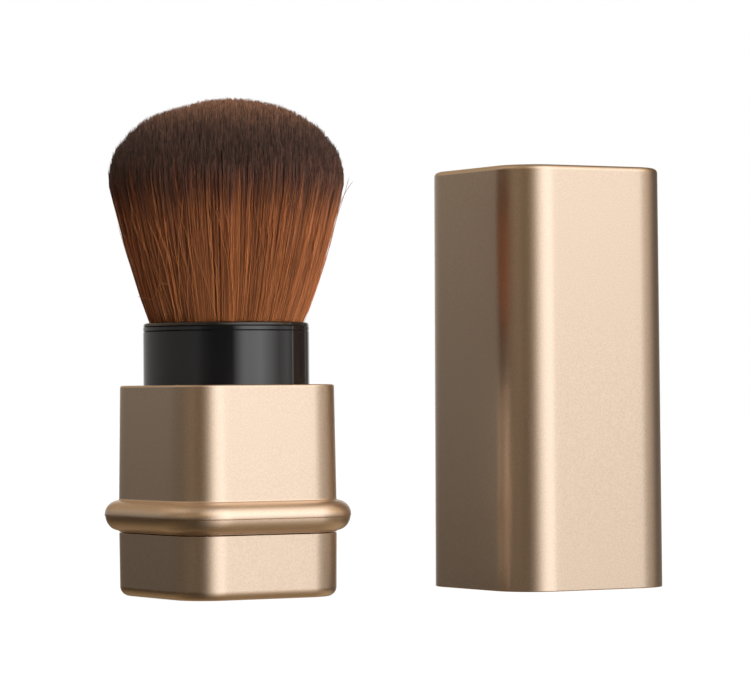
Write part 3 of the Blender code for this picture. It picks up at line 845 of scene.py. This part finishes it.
class Nodes:
    """A tree of shader nodes under construction."""

    def __init__(self, tree):
        self.tree = tree

    def node(self, kind, **values):
        made = self.tree.nodes.new(kind)
        for key, value in values.items():
            setattr(made, key, value)
        return made

    def link(self, source, target):
        self.tree.links.new(source, target)

    def fill(self, target, value):
        """Gives a socket a number or a colour, or links another socket to it."""
        if isinstance(value, tuple):
            target.default_value = (*value, 1)
        elif isinstance(value, (int, float)):
            target.default_value = value
        else:
            self.link(value, target)

    def maths(self, operation, first, second=0.0):
        made = self.node("ShaderNodeMath", operation=operation)
        self.fill(made.inputs[0], first)
        self.fill(made.inputs[1], second)
        return made.outputs[0]

    def span(self, source, low, high, start=0.0, end=1.0):
        """Maps a value from low..high to start..end."""
        made = self.node("ShaderNodeMapRange")
        for name, value in (("From Min", low), ("From Max", high), ("To Min", start), ("To Max", end)):
            made.inputs[name].default_value = value
        self.link(source, made.inputs["Value"])
        return made.outputs["Result"]

    def mix(self, share, first, second):
        """Mixes two colours, each a tuple or a socket."""
        made = self.node("ShaderNodeMix", data_type="RGBA")
        self.link(share, made.inputs["Factor"])
        for name, value in (("A", first), ("B", second)):
            socket = [item for item in made.inputs if item.name == name and item.type == "RGBA"][0]
            self.fill(socket, value)
        return [item for item in made.outputs if item.type == "RGBA"][0]

    def ramp(self, source, marks):
        """Colours by the value of a source, from pairs of a place and a colour that run from 0 to 1."""
        made = self.node("ShaderNodeValToRGB")
        stops = made.color_ramp.elements
        for number, (place, colour) in enumerate((marks[0], marks[-1])):
            stops[number].position = place
            stops[number].color = (*colour, 1)
        for place, colour in marks[1:-1]:
            stops.new(place).color = (*colour, 1)
        self.link(source, made.inputs["Fac"])
        return made.outputs["Color"]


class Finish(Nodes):
    """A material under construction."""

    def __init__(self, name):
        self.material = bpy.data.materials.new(name)
        self.material.use_nodes = True
        super().__init__(self.material.node_tree)
        self.shader = self.tree.nodes["Principled BSDF"]

    def set(self, name, value):
        self.fill(self.shader.inputs[name], value)

    def noise(self, scale, detail, stretch=None):
        """Noise of a scale in cycles a metre, in the object's own frame."""
        place = self.node("ShaderNodeTexCoord").outputs["Object"]
        if stretch is not None:
            mapping = self.node("ShaderNodeMapping")
            mapping.inputs["Scale"].default_value = stretch
            self.link(place, mapping.inputs["Vector"])
            place = mapping.outputs["Vector"]
        made = self.node("ShaderNodeTexNoise")
        made.inputs["Scale"].default_value = scale
        made.inputs["Detail"].default_value = detail
        self.link(place, made.inputs["Vector"])
        return made.outputs["Fac"]

    def tones(self, noise, dark, light):
        """Colours the surface between two tones."""
        self.set("Base Color", self.mix(self.span(noise, *NOISE_SPAN), dark, light))

    def roughen(self, source, least, most, span=NOISE_SPAN):
        self.set("Roughness", self.span(source, *span, least, most))

    def bump(self, height, distance):
        made = self.node("ShaderNodeBump")
        made.inputs["Strength"].default_value = 1
        made.inputs["Distance"].default_value = distance
        self.link(height, made.inputs["Height"])
        self.set("Normal", made.outputs["Normal"])


def gold_finish():
    """Satin champagne-gold lacquer with very fine metal flakes."""
    made = Finish("gold_lacquer")
    flakes = made.noise(*GOLD_FLAKES)
    made.tones(flakes, *GOLD_TONES)
    made.roughen(flakes, *GOLD_ROUGHNESS)
    made.set("Metallic", 1.0)
    return made.material


def black_finish():
    """Glossy moulded black plastic."""
    made = Finish("black_plastic")
    cloud = made.noise(*GLOSS_CLOUDS)
    made.tones(cloud, *GLOSS_TONES)
    made.roughen(cloud, *GLOSS_ROUGHNESS)
    made.set("IOR", GLOSS_IOR)
    return made.material


def satin_black_finish():
    """Inner black plastic with a light texture."""
    made = Finish("black_inner_plastic")
    grain = made.noise(*SATIN_GRAIN)
    made.tones(made.noise(*SATIN_CLOUDS), *SATIN_TONES)
    made.roughen(grain, *SATIN_ROUGHNESS)
    made.bump(grain, SATIN_BUMP)
    return made.material


def ferrule_finish():
    """Drawn aluminium with fine lines round it."""
    made = Finish("ferrule_metal")
    lines = made.noise(*FERRULE_LINES, stretch=FERRULE_STRETCH)
    made.tones(lines, *FERRULE_TONES)
    made.roughen(lines, *FERRULE_ROUGHNESS)
    made.bump(lines, FERRULE_BUMP)
    made.set("Metallic", 1.0)
    return made.material


def glue_finish():
    """Cast amber glue."""
    made = Finish("cast_glue")
    cloud = made.noise(*GLUE_CLOUDS)
    made.tones(cloud, *GLUE_TONES)
    made.roughen(cloud, *GLUE_ROUGHNESS)
    made.bump(cloud, GLUE_BUMP)
    return made.material


def fibre_finish():
    """Red-brown fibres, dyed dark brown over the top of the head, with paler tips over the crown that are
    partly painted glow of light from above through them.
    """
    made = Finish("bristle_fibre")
    tone = made.node("ShaderNodeAttribute", attribute_name="fibre_tone").outputs["Fac"]
    dye = made.node("ShaderNodeAttribute", attribute_name="fibre_dye_and_glow").outputs["Fac"]
    deep = made.ramp(dye, [(place, deepest) for place, deepest, _ in FIBRE_COLOURS])
    light = made.ramp(dye, [(place, lightest) for place, _, lightest in FIBRE_COLOURS])
    made.set("Base Color", made.mix(tone, deep, light))
    made.roughen(tone, *FIBRE_ROUGHNESS, span=(0, 1))
    made.set("IOR", FIBRE_IOR)
    return made.material


def make_stage():
    """Pale floor that shows white with a soft shadow."""
    reach = FLOOR_REACH
    mesh = bpy.data.meshes.new("floor")
    corners = [(-reach, -reach, 0), (reach, -reach, 0), (reach, reach, 0), (-reach, reach, 0)]
    mesh.from_pydata(corners, [], [(0, 1, 2, 3)])
    floor = bpy.data.objects.new("floor", mesh)
    bpy.context.scene.collection.objects.link(floor)
    made = Finish("pale_floor")
    made.set("Base Color", FLOOR_TONE)
    made.set("Roughness", FLOOR_ROUGHNESS)
    made.set("Specular IOR Level", 0.0)
    white = made.node("ShaderNodeEmission")
    made.fill(white.inputs["Color"], WHITE)
    made.fill(white.inputs["Strength"], FLOOR_WHITE)
    path = made.node("ShaderNodeLightPath")
    seen = made.maths("MAXIMUM", path.outputs["Is Camera Ray"], path.outputs["Is Transmission Ray"])
    blend = made.node("ShaderNodeMixShader")
    made.link(made.maths("MULTIPLY", seen, FLOOR_SHARE), blend.inputs["Fac"])
    made.link(made.shader.outputs["BSDF"], blend.inputs[1])
    made.link(white.outputs["Emission"], blend.inputs[2])
    made.link(blend.outputs[0], made.tree.nodes["Material Output"].inputs["Surface"])
    mesh.materials.append(made.material)
    # The studio lights the object from under the horizon too, and the floor only takes its shadow
    floor.visible_diffuse = False
    floor.visible_glossy = False
    floor.visible_shadow = False


def stop_colour(level, warmth):
    """Colour of a stop: dim parts of the studio are a little warm, bright parts are white."""
    shade = warmth / (1 + (level / WARM_LEVEL) ** 2)
    return tuple(part * level / TOP_LEVEL for part in (1 + shade, 1.0, 1 - shade))


def belt(sky, bearing, warmth, levels):
    """A ramp round the whole circle, closed where it meets itself."""
    first, last = levels[0], levels[-1]
    share = (360 - last[0]) / (first[0] + 360 - last[0])
    joint = stop_colour(last[1] + (first[1] - last[1]) * share, warmth)
    marks = [(0, joint)]
    for place, level, *own in levels:
        if place > 0:
            marks.append((place / 360, stop_colour(level, own[0] if own else warmth)))
    return sky.ramp(bearing, marks + [(1, joint)])


def stack(sky, height, bearing, belts):
    """Belts blended into each other by height."""
    made = belt(sky, bearing, *belts[0][1:])
    for under, over in zip(belts, belts[1:]):
        made = sky.mix(sky.span(height, under[0], over[0]), made, belt(sky, bearing, *over[1:]))
    return made


def shiny_light(sky, bearing, height):
    """The light that shiny surfaces mirror."""
    upper = stack(sky, height, bearing, UPPER_BELTS)
    lower = stack(sky, sky.maths("MULTIPLY", height, -1.0), bearing, LOWER_BELTS)
    return sky.mix(sky.span(height, -HORIZON_BLEND, 0.0), lower, upper)


def dull_light(sky, bearing, shiny):
    """The light on dull surfaces: an even, neutral share of the other, with more of it at some sides."""
    parts = sky.node("ShaderNodeSeparateColor")
    sky.link(shiny, parts.inputs[0])
    sides = sky.node("ShaderNodeSeparateColor")
    sky.link(belt(sky, bearing, 0.0, DULL_SIDES), sides.inputs[0])
    level = sky.maths("ADD", sky.maths("MULTIPLY", parts.outputs[1], DULL_GAIN), sides.outputs[1])
    level = sky.maths("MAXIMUM", sky.maths("SUBTRACT", level, DULL_LOSS), 0.0)
    dull = sky.node("ShaderNodeCombineColor")
    for socket in dull.inputs:
        sky.link(level, socket)
    return dull.outputs[0]


def backdrop_share(sky, bearing, height):
    """1 where the white backdrop stands behind the object, with soft edges."""
    low, inner, outer, high = (edge / 360 for edge in BACKDROP_SIDES)
    share = sky.maths("MULTIPLY", sky.span(bearing, low, inner), sky.span(bearing, outer, high, 1.0, 0.0))
    share = sky.maths("MULTIPLY", share, sky.span(height, *BACKDROP_FOOT))
    return sky.maths("MULTIPLY", share, sky.span(height, *BACKDROP_TOP, 1.0, 0.0))


def make_world():
    """White wherever the camera looks, and elsewhere the light of a plain studio."""
    world = bpy.data.worlds.new("studio")
    bpy.context.scene.world = world
    # The light is different for shiny and dull surfaces, so it is only met by their own rays
    world.cycles.sampling_method = "NONE"
    world.use_nodes = True
    world.node_tree.nodes.clear()
    sky = Nodes(world.node_tree)
    split = sky.node("ShaderNodeSeparateXYZ")
    sky.link(sky.node("ShaderNodeTexCoord").outputs["Generated"], split.inputs[0])
    x, y, height = split.outputs
    turn = sky.maths("DIVIDE", sky.maths("ARCTAN2", y, x), 2 * math.pi)
    bearing = sky.maths("FRACT", sky.maths("ADD", turn, 1.0))
    shiny = shiny_light(sky, bearing, height)
    path = sky.node("ShaderNodeLightPath")
    studio = sky.node("ShaderNodeBackground")
    light = sky.mix(path.outputs["Is Diffuse Ray"], shiny, dull_light(sky, bearing, shiny))
    sky.link(light, studio.inputs["Color"])
    sky.fill(studio.inputs["Strength"], TOP_LEVEL)
    white = sky.node("ShaderNodeBackground")
    sky.fill(white.inputs["Color"], WHITE)
    seen = sky.maths("MAXIMUM", path.outputs["Is Camera Ray"], path.outputs["Is Transmission Ray"])
    behind = backdrop_share(sky, bearing, height)
    seen = sky.maths("MAXIMUM", seen, sky.maths("MULTIPLY", path.outputs["Is Glossy Ray"], behind))
    pick = sky.node("ShaderNodeMixShader")
    sky.link(seen, pick.inputs["Fac"])
    sky.link(studio.outputs[0], pick.inputs[1])
    sky.link(white.outputs[0], pick.inputs[2])
    sky.link(pick.outputs[0], sky.node("ShaderNodeOutputWorld").inputs["Surface"])


def make_camera():
    back = Vector((*VIEW_BACK, 0))
    side = Vector((*VIEW_RIGHT, 0))
    up = Vector((0, 0, 1))
    place = back * CAMERA_DISTANCE + side * CAMERA_ASIDE + up * CAMERA_HEIGHT
    forward = -back * math.cos(CAMERA_PITCH) + up * math.sin(CAMERA_PITCH)
    level_up = side.cross(forward)
    right = side * math.cos(CAMERA_ROLL) + level_up * math.sin(CAMERA_ROLL)
    above = level_up * math.cos(CAMERA_ROLL) - side * math.sin(CAMERA_ROLL)
    data = bpy.data.cameras.new("camera")
    data.sensor_fit = "HORIZONTAL"
    data.sensor_width = SENSOR_WIDTH
    data.lens = FOCAL_PIXELS / PHOTO_WIDTH * SENSOR_WIDTH
    data.clip_start, data.clip_end = CLIP_NEAR, CLIP_FAR
    camera = bpy.data.objects.new("camera", data)
    bpy.context.scene.collection.objects.link(camera)
    turn = Matrix((right, above, -forward)).transposed()
    camera.matrix_world = Matrix.Translation(place) @ turn.to_4x4()
    bpy.context.scene.camera = camera


def paint_node(frame, name, finish):
    """Gives a solid that stays as it is a better finish."""
    mesh = frame["nodes"][name].data
    for number in range(max(1, len(mesh.materials))):
        if len(mesh.materials) <= number:
            mesh.materials.append(finish)
        mesh.materials[number] = finish


def main():
    for old in list(bpy.data.objects):
        bpy.data.objects.remove(old, do_unlink=True)
    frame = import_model()
    gold = gold_finish()
    make_camera()
    make_world()
    make_stage()
    make_base_cup(gold)
    make_sleeve(gold)
    make_guide_tube(black_finish())
    make_carrier(satin_black_finish())
    make_cap(gold)
    glue = glue_finish()
    make_head(fibre_finish(), glue)
    paint_node(frame, "ferrule", ferrule_finish())
    paint_node(frame, "root_plug", glue)
    bpy.context.scene.view_settings.view_transform = "Standard"
    bpy.context.view_layer.update()


main()
